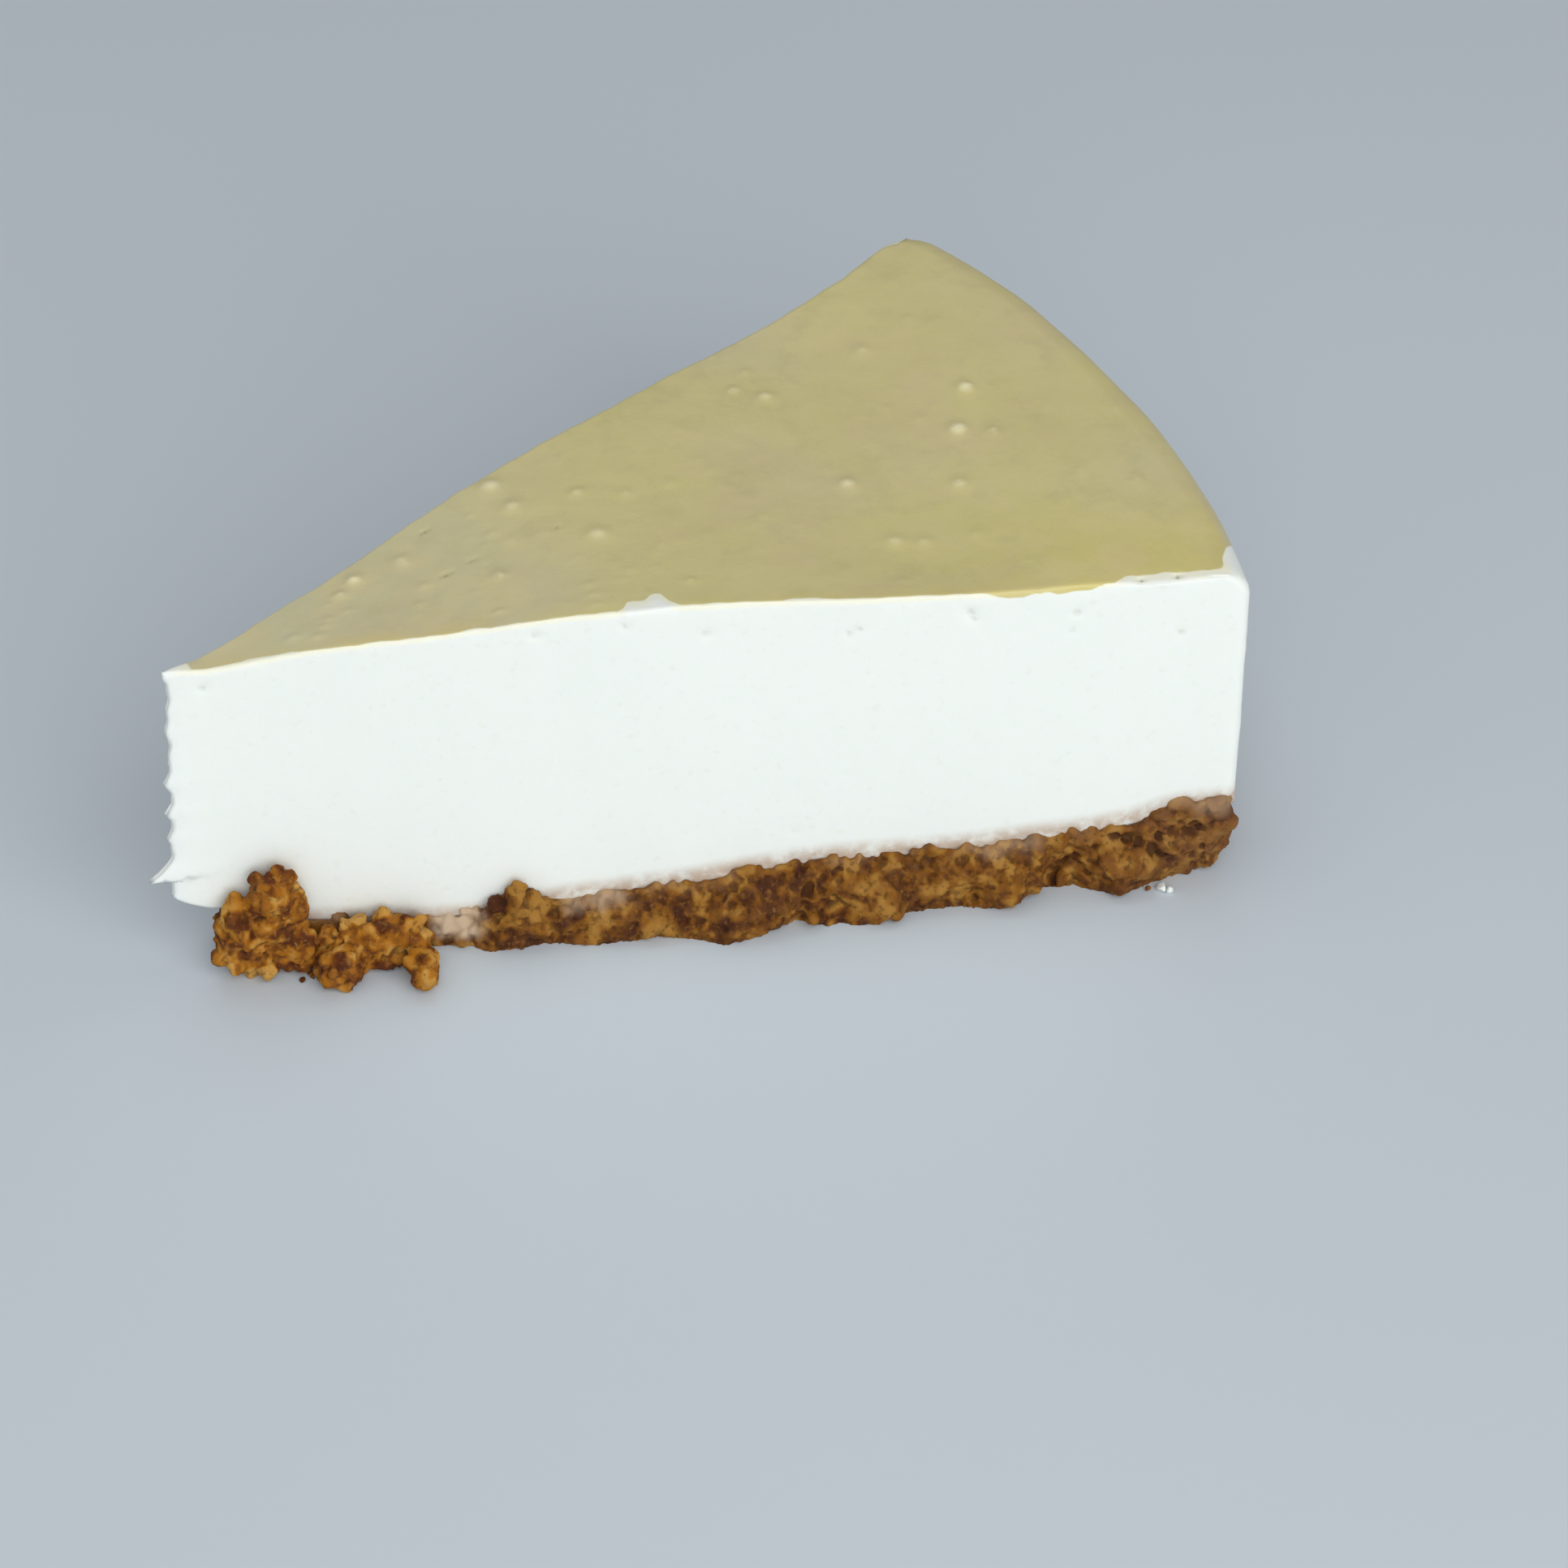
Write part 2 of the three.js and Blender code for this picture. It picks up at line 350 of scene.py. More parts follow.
# A longer spur with a level underside, where the filling tore off its base.
SPUR_FOOT = 13.7
SPUR_TOP = 17.0
SPUR_OUT = 3.3

# Where the skin is torn back from the shown cut: distance from the centre, length and depth.
SKIN_TEARS = [
    (113.4, 7.6, 1.4),
    (52.6, 2.3, 1.7),
    (54.4, 1.4, 1.0),
    (11.0, 3.0, 0.35),
    (89.0, 2.4, 0.4),
    (97.0, 1.6, 0.35),
    (70.0, 2.0, 0.3),
    (34.0, 1.4, 0.3),
]

# Blisters on the skin: distances along the shown cut and away from it, width and height.
BLISTERS = [
    (94.8, 40.3, 2.0, 0.55),
    (92.7, 32.4, 2.2, 0.55),
    (96.7, 31.1, 1.5, 0.3),
    (78.4, 23.6, 2.1, 0.4),
    (91.2, 22.0, 2.0, 0.35),
    (71.3, 42.6, 2.0, 0.35),
    (67.8, 44.2, 1.8, 0.3),
    (69.5, 48.0, 1.6, 0.2),
    (83.9, 50.7, 1.9, 0.25),
    (52.7, 23.4, 1.6, 0.2),
    (48.8, 15.6, 2.6, 0.35),
    (47.2, 24.1, 1.6, 0.3),
    (39.6, 22.4, 2.2, 0.3),
    (37.3, 26.8, 2.6, 0.4),
    (82.2, 11.8, 2.4, 0.3),
    (85.4, 11.4, 2.0, 0.25),
    (20.6, 12.8, 2.4, 0.3),
    (26.2, 15.2, 2.0, 0.25),
    (111.4, 19.1, 1.6, 0.2),
]
SMALL_BLISTERS = 70
# Pinholes in the skin, placed and sized in the same way.
PINHOLES = [
    (31.3, 11.5, 0.75, 0.5),
    (34.4, 13.4, 0.65, 0.4),
    (29.2, 19.9, 0.6, 0.4),
    (44.4, 17.7, 0.6, 0.25),
    (108.4, 0.9, 0.7, 0.4),
    (112.6, 1.1, 0.8, 0.5),
    (117.5, 1.2, 0.7, 0.4),
]

# Air pits in the shown cut: distance from the centre, depth under the top, width and depth.
PITS = [
    (40.4, 1.8, 1.0, 0.4),
    (50.3, 1.7, 0.8, 0.3),
    (59.3, 3.4, 1.0, 0.4),
    (75.4, 4.2, 0.9, 0.3),
    (76.6, 3.6, 0.8, 0.25),
    (89.0, 2.1, 1.1, 0.4),
    (89.6, 3.0, 0.8, 0.25),
    (101.1, 3.6, 1.1, 0.35),
    (100.6, 5.8, 0.9, 0.2),
    (113.2, 8.0, 1.0, 0.25),
    (56.2, 11.8, 0.8, 0.15),
    (48.3, 21.7, 0.8, 0.25),
    (69.1, 32.6, 0.9, 0.25),
    (4.2, 2.5, 0.9, 0.3),
]
# The hidden cut has the same pits in reverse: the two distances of a pit add up to this.
MIRROR_PITS = 126


def polar(radius, angle):
    return np.stack([radius * np.cos(angle), radius * np.sin(angle)], axis=-1)


def graded(steps, share):
    """Steps from 0 to 1 that are finer at both ends."""
    even = np.linspace(0, 1, steps + 1)
    return (1 - share) * even + share * 0.5 * (1 - np.cos(math.pi * even))


def box_lattice(steps):
    """Whole-number points on the surface of a box, and its quads, which face out."""
    size = [count + 1 for count in steps]
    grid = np.indices(size).reshape(3, -1).T
    on_surface = np.any((grid == 0) | (grid == np.array(steps)), axis=1)
    number = np.full(len(grid), -1)
    number[on_surface] = np.arange(on_surface.sum())
    number = number.reshape(size)
    faces = []
    for axis in range(3):
        for end, flip in ((0, True), (-1, False)):
            side = np.take(number, end, axis=axis)
            side = side.T if axis == 1 else side
            quads = np.stack([side[:-1, :-1], side[1:, :-1], side[1:, 1:], side[:-1, 1:]], -1)
            quads = quads.reshape(-1, 4)
            faces.append(quads[:, ::-1] if flip else quads)
    return grid[on_surface], np.concatenate(faces)


def spots(along, away, places, depth=None):
    """How strongly round marks act at each point, as soft domes of their own or equal depths."""
    total = np.zeros(len(along))
    for x, y, width, strength in places:
        square = ((along - x) ** 2 + (away - y) ** 2) / (width / 2) ** 2
        total += (depth or strength) * np.exp(-square)
    return total


def filling_surface():
    """Points, faces and the values that its material reads."""
    lattice_points, faces = box_lattice(FILLING_STEPS)
    u, v, w = (
        graded(steps, finer)[numbers]
        for steps, finer, numbers in zip(FILLING_STEPS, FINER_ENDS, lattice_points.T)
    )
    top_of = height_function("filling", True)
    under_of = height_function("filling", False)

    even_radius = TIP_WIDTH_RADIUS + (CAKE_RADIUS - TIP_WIDTH_RADIUS) * u
    angle = HALF_ANGLE * (2 * v - 1)
    from_tip = even_radius - TIP_WIDTH_RADIUS
    near_tip = np.clip(1 - from_tip / TIP_LEAN_REACH, 0, 1) ** 2
    top = top_of(even_radius, angle)
    under = under_of(even_radius, angle) - FOOT_OVERLAP
    under += TIP_LIFT * smoothstep(TIP_LIFT_REACH, TIP_LIFT_REACH * 0.3, even_radius)
    under += TIP_CURL * np.clip(1 - from_tip / TIP_CURL_REACH, 0, 1) ** 2
    z = under + (top - under) * w

    into_round = np.clip((z - (top - TOP_EDGE_ROUND)) / TOP_EDGE_ROUND, 0, 1)
    wall = CAKE_RADIUS - TOP_EDGE_ROUND * (1 - np.sqrt(1 - into_round**2))
    radius = TIP_WIDTH_RADIUS + (wall - TIP_WIDTH_RADIUS) * u
    flat = polar(radius, angle)
    below = top - z
    lean = TIP_WIDTH_RADIUS + TIP_SETBACK + TIP_LEAN * below / (top - under)
    flat[:, 0] -= lean * near_tip + torn_tip(z, angle) * np.exp(-u * CAKE_RADIUS / TOOTH_REACH)

    points = np.column_stack([flat[:, 0], flat[:, 1], z])
    from_front = radius * np.sin(HALF_ANGLE + angle)
    from_back = radius * np.sin(HALF_ANGLE - angle)
    from_rim = wall - radius
    points = round_cut_edges(points, from_front, from_back, below)
    points = round_corner(points, -1, from_front, from_rim, FRONT_CORNER)
    points = round_corner(points, 1, from_back, from_rim, BACK_CORNER)
    bow = between(HIDDEN_CUT_BOW, radius)
    bow *= np.exp(-from_back / BOW_DEPTH) * smoothstep(0.0, 5.0, from_front)
    rim_swell = RIM_SWELL * smoothstep(0.0, 0.8 * HALF_ANGLE, angle)
    rim_swell *= np.exp(-from_rim / RIM_SWELL_DEPTH)
    points = points + bow[:, None] * cut_normal(1)
    points[:, :2] += rim_swell[:, None] * polar(1, angle)
    points = roughen_filling(points, from_front, from_back, from_rim, below, radius)

    marks = filling_marks(points, from_front, from_back, below, radius)
    marks["foot"] = z - under - FOOT_OVERLAP + clean_foot(radius)
    points[:, 0] += CAKE_CENTRE.x
    return points, faces, marks


def filling_marks(points, from_front, from_back, below, radius):
    """Where the skin, its edges, its blisters and pinholes, and the pits of the shown cut are."""
    along = along_shown(radius, from_front)
    on_skin = below < 1
    return {
        "skin_edge": skin_reach(points, from_front, from_back, below, radius),
        "cut_edge": from_front + CAKE_RADIUS * smoothstep(0.5, 2.0, below),
        "on_top": smoothstep(0.9, 0.2, below),
        "blister": spots(along, from_front, BLISTERS + small_blisters()) * on_skin,
        "pinhole": spots(along, from_front, PINHOLES, 1) * on_skin,
        "pit": spots(radius, below, PITS, 1) * (from_front < 0.1),
    }


def along_shown(radius, from_front):
    """Distances along the shown cut, from those to the cake's centre and to the cut."""
    return np.sqrt(np.maximum(radius**2 - from_front**2, 0))


def torn_tip(z, angle):
    """How far the torn tip stands out at each height."""
    out = sum(reach * np.exp(-(((z - at) / half) ** 2)) for at, reach, half in TEETH)
    up = np.clip((z - SPUR_FOOT) / (SPUR_TOP - SPUR_FOOT), 0, 1)
    out += np.where(z > SPUR_FOOT, SPUR_OUT * (1 - up) ** 1.6, 0)
    across = np.stack([np.zeros_like(z), angle, z], axis=-1)
    return out + 0.35 * layered_noise(across, 1.5, 3, 11)


def clean_foot(radius):
    """Less stain towards the tip, where the chunks hide the base, as millimetres to add."""
    return 0.8 * smoothstep(42.0, 34.0, radius) + 3 * smoothstep(11.0, 6.0, radius)


def small_blisters():
    """Tiny blisters strewn over the skin, most of them towards the tip."""
    rng = np.random.default_rng(3)
    made = []
    for _ in range(SMALL_BLISTERS):
        radius = 14 + 100 * rng.uniform() ** 1.5
        angle = 2 * HALF_ANGLE * rng.uniform(0.04, 0.97)
        size = rng.uniform(0.7, 1.5)
        made.append((*polar(radius, angle), size, 0.11 * size))
    return made


def round_corner(points, side, inside, from_rim, corner):
    """Squeezes the square corner between a cut face and the rim into a round one."""
    near = (inside < corner) & (from_rim < corner)
    away = np.stack([inside - corner, from_rim - corner], -1)
    squeeze = np.abs(away).max(axis=1) / lengths(away)
    shift = np.where(near[:, None], away * (squeeze - 1)[:, None], 0)
    outward = points * LEVEL
    outward /= lengths(outward)[:, None]
    return points - shift[:, :1] * cut_normal(side) - shift[:, 1:] * outward


def cut_normal(side):
    """The level direction out of a cut face: -1 for the shown one, 1 for the hidden one."""
    angle = side * (HALF_ANGLE + math.pi / 2)
    return np.array([math.cos(angle), math.sin(angle), 0])


def round_cut_edges(points, from_front, from_back, below):
    """Rounds the edges between the skin and both cut faces."""
    edge = CUT_EDGE_ROUND
    for side, inside in ((-1, from_front), (1, from_back)):
        near = (inside < edge) & (below < edge)
        away = np.stack([inside - edge, below - edge], -1)
        onto = away * (edge / lengths(away))[:, None]
        shift = np.where(near[:, None], onto - away, 0)
        points = points - shift[:, :1] * cut_normal(side) - shift[:, 1:] * np.array([0, 0, 1])
    return points


def roughen_filling(points, from_front, from_back, from_rim, below, radius):
    """Knife marks, pits, blisters and the soft unevenness of each side."""
    made = points.copy()
    drag = points * np.array([1, 1, 0.25])
    for side, inside, seed in ((-1, from_front, 21), (1, from_back, 31)):
        wave = 0.16 * noise(drag, 9.0, seed) + 0.05 * layered_noise(drag, 2.2, 2, seed + 1)
        places = PITS if side < 0 else [(MIRROR_PITS - x, *rest) for x, *rest in PITS]
        wave -= spots(radius, below, places)
        wave += 0.1 * noise(points, 1.6, seed + 5) * smoothstep(1.6, 0.2, below)
        made += (wave * np.exp(-inside / 0.8))[:, None] * cut_normal(side)
    along = along_shown(radius, from_front)
    swell = 0.22 * noise(points * LEVEL, 16.0, 41)
    swell += 0.06 * layered_noise(points * LEVEL, 3.2, 3, 42)
    swell += spots(along, from_front, BLISTERS + small_blisters())
    swell -= spots(along, from_front, PINHOLES)
    swell += BARE_TIP_RISE * smoothstep(BARE_TIP + 1.5, BARE_TIP - 1.5, radius)
    swell += between(SHOWN_EDGE_RISE, radius) * np.exp(-from_front / RISE_DEPTH)
    made[:, 2] += swell * np.exp(-below / 1.6)
    wall = 0.12 * noise(points, 7.0, 51) + 0.05 * layered_noise(points, 1.4, 2, 52)
    outward = points * LEVEL / np.maximum(radius, 1)[:, None]
    made += (wall * np.exp(-np.maximum(from_rim, 0) / 1.0))[:, None] * outward
    return made


def skin_reach(points, from_front, from_back, below, radius):
    """Millimetres that each point lies inside the skin's edge, and less than 0 outside it."""
    level = points * LEVEL
    ragged = layered_noise(level, 2.2, 4, 61)
    torn = sum(
        depth * smoothstep(1.2, 0.6, np.abs(radius - at) / length + 0.25 * ragged)
        for at, length, depth in SKIN_TEARS
    )
    hanging = OVERHANG * smoothstep(OVERHANG_START, OVERHANG_START + 6, radius)
    hanging *= smoothstep(OVERHANG_END + 1, OVERHANG_END - 1, radius)
    front = np.where(from_front > 0.01, from_front, -below) - SKIN_SETBACK - torn + hanging
    back = np.where(from_back > 0.01, from_back, -below)
    bare_rim = BARE_RIM * smoothstep(BARE_RIM_END, 2.0, from_front)
    rim = np.where(bare_rim > 0.2, CAKE_RADIUS - radius - bare_rim, RIM_SKIN_DEPTH)
    rim = np.minimum(rim, RIM_SKIN_DEPTH - below)
    tip = radius - BARE_TIP
    return np.minimum.reduce([front, back, rim, tip]) + 0.3 * ragged


# ---- Crumb ----


BALL_FINENESS = 3
# Planes that cut each crumb, and how far from its middle they lie, in its own radii.
CRUMB_PLANES = 9
PLANE_DEPTHS = (0.5, 0.95)
CORNER_LIMIT = 1.15
CRUMB_STRETCH = (0.6, 1.15)
# Faces whose normal points further down than this belong to the underside.
UNDERSIDE = -0.75
# How much of a crumb's tone is its own, for strewn crumbs and for those placed one by one.
OWN_TONE = 0.5
OWN_TONE_MARKED = 0.85


def unit_ball():
    ball = bmesh.new()
    bmesh.ops.create_icosphere(ball, subdivisions=BALL_FINENESS, radius=1)
    points = np.array([vertex.co for vertex in ball.verts])
    faces = np.array([[vertex.index for vertex in face.verts] for face in ball.faces])
    ball.free()
    return points, faces


def random_turns(count, rng):
    """Random rotation matrices."""
    made = np.linalg.qr(rng.normal(size=(count, 3, 3)))[0]
    made[np.linalg.det(made) < 0] *= -1
    return made


def crumb_shapes(centres, sizes, rng):
    """Angular crumbs: each is a ball that random planes cut, then stretched and turned."""
    ball, faces = unit_ball()
    count = len(centres)
    normals = rng.normal(size=(count, CRUMB_PLANES, 3))
    normals /= np.linalg.norm(normals, axis=2, keepdims=True)
    offsets = rng.uniform(*PLANE_DEPTHS, (count, CRUMB_PLANES, 1))
    facing = np.maximum(normals @ ball.T, 0.05)
    reach = np.minimum((offsets / facing).min(axis=1), CORNER_LIMIT)
    stretch = rng.uniform(*CRUMB_STRETCH, (count, 1, 3))
    shapes = ball[None] * reach[:, :, None] * stretch * (sizes / 2)[:, None, None]
    shapes = np.einsum("nij,nkj->nki", random_turns(count, rng), shapes) + centres[:, None]
    steps = np.arange(count)[:, None, None] * len(ball)
    return shapes.reshape(-1, 3), (faces[None] + steps).reshape(-1, 3)


def side_samples(node, count, rng):
    """Points spread evenly over a CAD node without its underside, with their normals."""
    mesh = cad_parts[node].data
    mesh.calc_loop_triangles()
    corners = np.array([[mesh.vertices[i].co / MM for i in t.vertices] for t in mesh.loop_triangles])
    across = np.cross(corners[:, 1] - corners[:, 0], corners[:, 2] - corners[:, 0])
    area = np.linalg.norm(across, axis=1) / 2
    normal = across / np.maximum(2 * area, 1e-9)[:, None]
    area = np.where(normal[:, 2] > UNDERSIDE, area, 0)
    chosen = rng.choice(len(area), count, p=area / area.sum())
    a, b = rng.uniform(size=(2, count))
    a, b = np.where(a + b > 1, 1 - a, a), np.where(a + b > 1, 1 - b, b)
    first, second, third = corners[chosen].transpose(1, 0, 2)
    return first + a[:, None] * (second - first) + b[:, None] * (third - first), normal[chosen]


def tree_of(points):
    """Points in a tree that finds near ones."""
    tree = KDTree(len(points))
    for number, point in enumerate(points):
        tree.insert(point, number)
    tree.balance()
    return tree


def spread_out(points, sizes):
    """Which points to keep so that no two crumbs sit on each other, the biggest first."""
    tree = tree_of(points)
    kept = np.ones(len(points), bool)
    for number in np.argsort(-sizes):
        if kept[number]:
            for _, other, _ in tree.find_range(points[number], CLOSENESS * sizes[number]):
                if other != number and sizes[other] <= sizes[number]:
                    kept[other] = False
    return kept


# Crumb that would reach below the floor is pressed into a thin layer on it.
DEEPEST = 3.0
PRESSED = 0.01


def pressed_flat(heights):
    return np.maximum(heights, 0) + PRESSED * (np.clip(heights, -DEEPEST, 0) + DEEPEST)


def roughen_crumb(mesh, dents):
    """Fine grain on the crumbs, dents in the shown side and a flat foot where they rest."""
    points = points_of(mesh)
    normals = normals_of(mesh)
    grain = 0.16 * layered_noise(points, 1.5, 2, 71) + 0.14 * layered_noise(points, 0.55, 2, 75)
    along, out = along_cut(points)
    for at, up, length, width, depth, lean in dents:
        run = (along - at) * math.cos(lean) + (points[:, 2] - up) * math.sin(lean)
        rise = (points[:, 2] - up) * math.cos(lean) - (along - at) * math.sin(lean)
        mark = np.exp(-((run / length) ** 2) - (rise / width) ** 2)
        grain -= depth * mark * (out > -3)
    points += grain[:, None] * normals
    points[:, 2] = pressed_flat(points[:, 2])
    set_points(mesh, points)


def along_cut(points):
    """Distances along the shown cut from the cake's centre, and outwards from the cut."""
    level = (points - np.array(CAKE_CENTRE)) * LEVEL
    return level @ SHOWN_RUN, level @ cut_normal(-1)


def placed(along, out, up):
    """A point at a distance along the shown cut, outwards from it and upwards."""
    return np.array(CAKE_CENTRE) + along * SHOWN_RUN + out * cut_normal(-1) + np.array([0, 0, up])


# A point this deep among its near or its far neighbours gets the darkest painted shade.
CREVICE_DEPTH = 0.06
HOLLOW_DEPTH = 0.35
PATCH_GRAIN = 3.0


def mark_crumb(mesh, centres, tones, loose):
    """Values for the material: how deep a point lies among the crumbs, which sets the painted shade in
    crevices and hollows, and each crumb's tone.

    Crumbs up to the number loose share their tone with broad patches, and the rest keep it.
    """
    points = points_of(mesh)
    normals = normals_of(mesh)
    fine = np.sum((points - neighbour_mean(mesh, points, 3)) * normals, axis=1)
    broad = np.sum((points - neighbour_mean(mesh, points, 24)) * normals, axis=1)
    broad = neighbour_mean(mesh, broad[:, None], 3)[:, 0]
    set_attribute(mesh, "crevice_shade", np.clip(-fine / CREVICE_DEPTH, -1, 1))
    set_attribute(mesh, "hollow_shade", np.clip(-broad / HOLLOW_DEPTH, -1, 1))
    tree = tree_of(centres)
    nearest = np.array([tree.find(point)[1] for point in points])
    share = np.where(nearest < loose, OWN_TONE, OWN_TONE_MARKED)
    mixed = np.column_stack([share * tones[nearest], 1 - share])
    own, rest = neighbour_mean(mesh, mixed, 2).T
    patches = 0.5 + 0.8 * layered_noise(points, PATCH_GRAIN, 3, 81)
    set_attribute(mesh, "tone", own + rest * patches)


# How far the core under the crumbs lies inside the CAD surface, and the share of that on top.
CORE_SHRINK = 0.45
TOP_SHRINK = 0.3
# Points lower than this stay on the floor.
FLOOR_TOUCH = 0.01


def cad_core(node):
    """A CAD node's own surface, pulled in a little, as the core under the crumbs."""
    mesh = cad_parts[node].data
    points = points_of(mesh) / MM
    normals = normals_of(mesh)
    mesh.calc_loop_triangles()
    faces = np.array([list(t.vertices) for t in mesh.loop_triangles])
    outward = normals.copy()
    outward[:, 2] = np.where(points[:, 2] < FLOOR_TOUCH, 0, outward[:, 2] * TOP_SHRINK)
    return points - CORE_SHRINK * outward, faces


def crumb_mass(name, core, spread, landmarks, rng, voxel, most_faces, dents=()):
    """Crumbs and the core that holds them, joined into one closed rough surface."""
    centres = np.concatenate([spread[0], [placed(*mark[:3]) for mark in landmarks]])
    sizes = np.concatenate([spread[1], [mark[3] for mark in landmarks]])
    tones = np.concatenate([rng.uniform(size=len(spread[0])), [mark[4] for mark in landmarks]])
    shapes, faces = crumb_shapes(centres, sizes, rng)
    joined = np.concatenate([core[1], faces + len(core[0])])
    piece = make_object(name, np.concatenate([core[0], shapes]), joined)
    apply_modifier(piece, "REMESH", mode="VOXEL", voxel_size=voxel)
    triangles = sum(len(face.vertices) - 2 for face in piece.data.polygons)
    if triangles > most_faces:
        apply_modifier(piece, "DECIMATE", ratio=most_faces / triangles)
    roughen_crumb(piece.data, dents)
    keep_one_surface(piece.data)
    mark_crumb(piece.data, centres, tones, len(spread[0]))
    return piece


# Crumbs strewn before the ones that sit on each other go, and the size of the largest.
BASE_CRUMB_TRIES = 26000
BASE_LARGEST = 3.4
BASE_VOXEL = 0.24
BASE_FACES = 190000
CHUNK_CRUMB_TRIES = 2000
CHUNK_LARGEST = 2.8
CHUNK_VOXEL = 0.2
CHUNK_FACES = 60000
SMALLEST_CRUMB = 0.65
# Two crumbs are at least this share of the larger one's size apart.
CLOSENESS = 0.4
# Crumbs show on the base this deep under the cuts and the rim, and this near to the tip.
SHOWN_DEPTH = 0.8
RIM_DEPTH = 1.8
TIP_SHELF = 7.0
# Crumbs that cling to the foot of the filling along the shown cut.
CLINGING_CRUMBS = 150
CLING_START = 30.0
CLING_END = 119.0
# Here few of them stand above the base.
LEVEL_TOP = 107.0
# The raised lump beside the pale stretch, which has no filling on it.
CLEAN_START = 33.0
CLEAN_END = 43.0
# The foot of the base curves in under the end of the shown cut.
UNDERCUT = 1.5
UNDERCUT_HEIGHT = 6.0
UNDERCUT_REACH = 5.0
# How much further out the foot's crumbs spread, against the distance along the shown cut.
FOOT_SHIFT = {
    70: 0.3, 74: -0.6, 80: 1.3, 86: 0.0, 90: -1.6, 94.5: 1.2,
    98: 0.0, 102: -1.4, 107.5: 1.6, 111: 0.0, 116: -0.9, 119: 0.0,
}
FOOT_HEIGHT = 5.0
# The stretch of the base that is pale with smeared filling.
PALE_START = 27.0
PALE_END = 32.0
PALE_FADE = 1.3
GAP_SMEAR = 0.9
# How strong the smear at the top edge of the base is, against the distance along the cut.
EDGE_SMEAR = {58: 0.5, 66: 0.25}
SMEAR_HEIGHT = 1.4

# Crumbs that stand out: along the shown cut, outwards from it, upwards, size and tone.
BASE_LANDMARKS = [
    (36.6, 1.3, 6.9, 2.8, 0.9),
    (38.3, 1.2, 6.0, 2.4, 0.85),
    (34.6, 1.2, 5.6, 2.6, 0.0),
    (33.4, 1.0, 4.2, 2.2, 0.1),
    (36.9, 1.3, 8.2, 2.0, 0.95),
    (37.4, 1.6, 4.4, 2.4, 0.8),
    (39.6, 1.2, 5.0, 2.2, 0.6),
    (41.4, 1.6, 2.4, 2.8, 0.1),
    (43.8, 1.6, 3.4, 2.4, 0.0),
    (46.0, 2.0, 2.0, 3.0, 0.1),
    (51.8, 3.0, 1.7, 3.0, 0.75),
    (56.4, 2.2, 3.0, 2.4, 0.3),
    (61.8, 3.9, 1.9, 3.6, 0.9),
    (65.2, 3.6, 1.6, 2.6, 0.7),
    (68.8, 2.4, 3.6, 2.0, 1.0),
    (70.6, 2.9, 1.5, 2.6, 0.6),
    (77.0, 2.9, 1.5, 2.6, 0.3),
    (80.6, 2.6, 1.6, 2.6, 0.9),
    (93.2, 3.0, 1.6, 2.8, 0.85),
    (106.8, 2.2, 1.4, 2.2, 0.7),
    (119.6, 0.1, 10.2, 1.8, 0.5),
    (118.0, 0.4, 10.4, 1.9, 0.6),
]
# Dents: along the shown cut, upwards, half length, half width, depth and lean.
BASE_DENTS = [
    (108.0, 6.9, 2.6, 0.5, 1.0, -0.25),
    (111.6, 4.8, 2.2, 0.5, 0.9, -0.6),
    (115.4, 7.2, 1.6, 0.8, 1.3, 0.0),
    (70.5, 4.4, 1.0, 0.9, 1.0, 0.5),
]


def spread_crumbs(node, tries, rng, keep, largest):
    """Centres and sizes of crumbs that are partly sunk in a node: many small, a few large."""
    points, normals = side_samples(node, tries, rng)
    sizes = SMALLEST_CRUMB + (largest - SMALLEST_CRUMB) * rng.uniform(size=tries) ** 4
    seen = keep(points)
    points, normals, sizes = points[seen], normals[seen], sizes[seen]
    points -= normals * (sizes * rng.uniform(0.2, 0.55, len(sizes)))[:, None]
    points[:, 2] = np.maximum(points[:, 2], sizes * 0.3)
    kept = spread_out(points, sizes)
    return points[kept], sizes[kept]


def near_outside(points):
    """Points of the base that are not deep under the filling."""
    level = points[:, :2] - np.array([CAKE_CENTRE.x, 0])
    radius = np.linalg.norm(level, axis=1)
    angle = np.arctan2(level[:, 1], level[:, 0])
    inside = radius * np.sin(HALF_ANGLE - np.abs(angle))
    return (inside < SHOWN_DEPTH) | (radius > CAKE_RADIUS - RIM_DEPTH) | (radius < TIP_SHELF)


def clinging_crumbs(rng, under_of):
    """Small crumbs in uneven clusters on the foot of the filling, as landmarks."""
    count = CLINGING_CRUMBS
    along = rng.uniform(CLING_START, CLING_END, count)
    cluster = noise(np.column_stack([along, 0 * along, 0 * along]), 4.0, 91)
    up = under_of(along, -HALF_ANGLE) - 0.5 + 0.9 * np.maximum(cluster, -0.4)
    up += rng.uniform(-0.4, 0.4, count) - 0.9 * np.exp(-(((along - LEVEL_TOP) / 6) ** 2))
    out = rng.uniform(0.0, 0.5, count)
    size = rng.uniform(0.8, 2.0, count)
    return list(zip(along, out, up, size, rng.uniform(0.35, 0.9, count)))


def crumb_base():
    """The base: crumbs all over its cut faces, its rim and the shelf beside the filling."""
    rng = np.random.default_rng(5)
    under_of = height_function("filling", False)
    core = cad_core("base")
    spread = spread_crumbs("base", BASE_CRUMB_TRIES, rng, near_outside, BASE_LARGEST)
    marks = BASE_LANDMARKS + clinging_crumbs(rng, under_of)
    piece = crumb_mass("crumb_base", core, spread, marks, rng, BASE_VOXEL, BASE_FACES, BASE_DENTS)
    points = shift_foot(points_of(piece.data))
    set_points(piece.data, points)
    set_attribute(piece.data, "smear", filling_smear(points, under_of))
    return piece


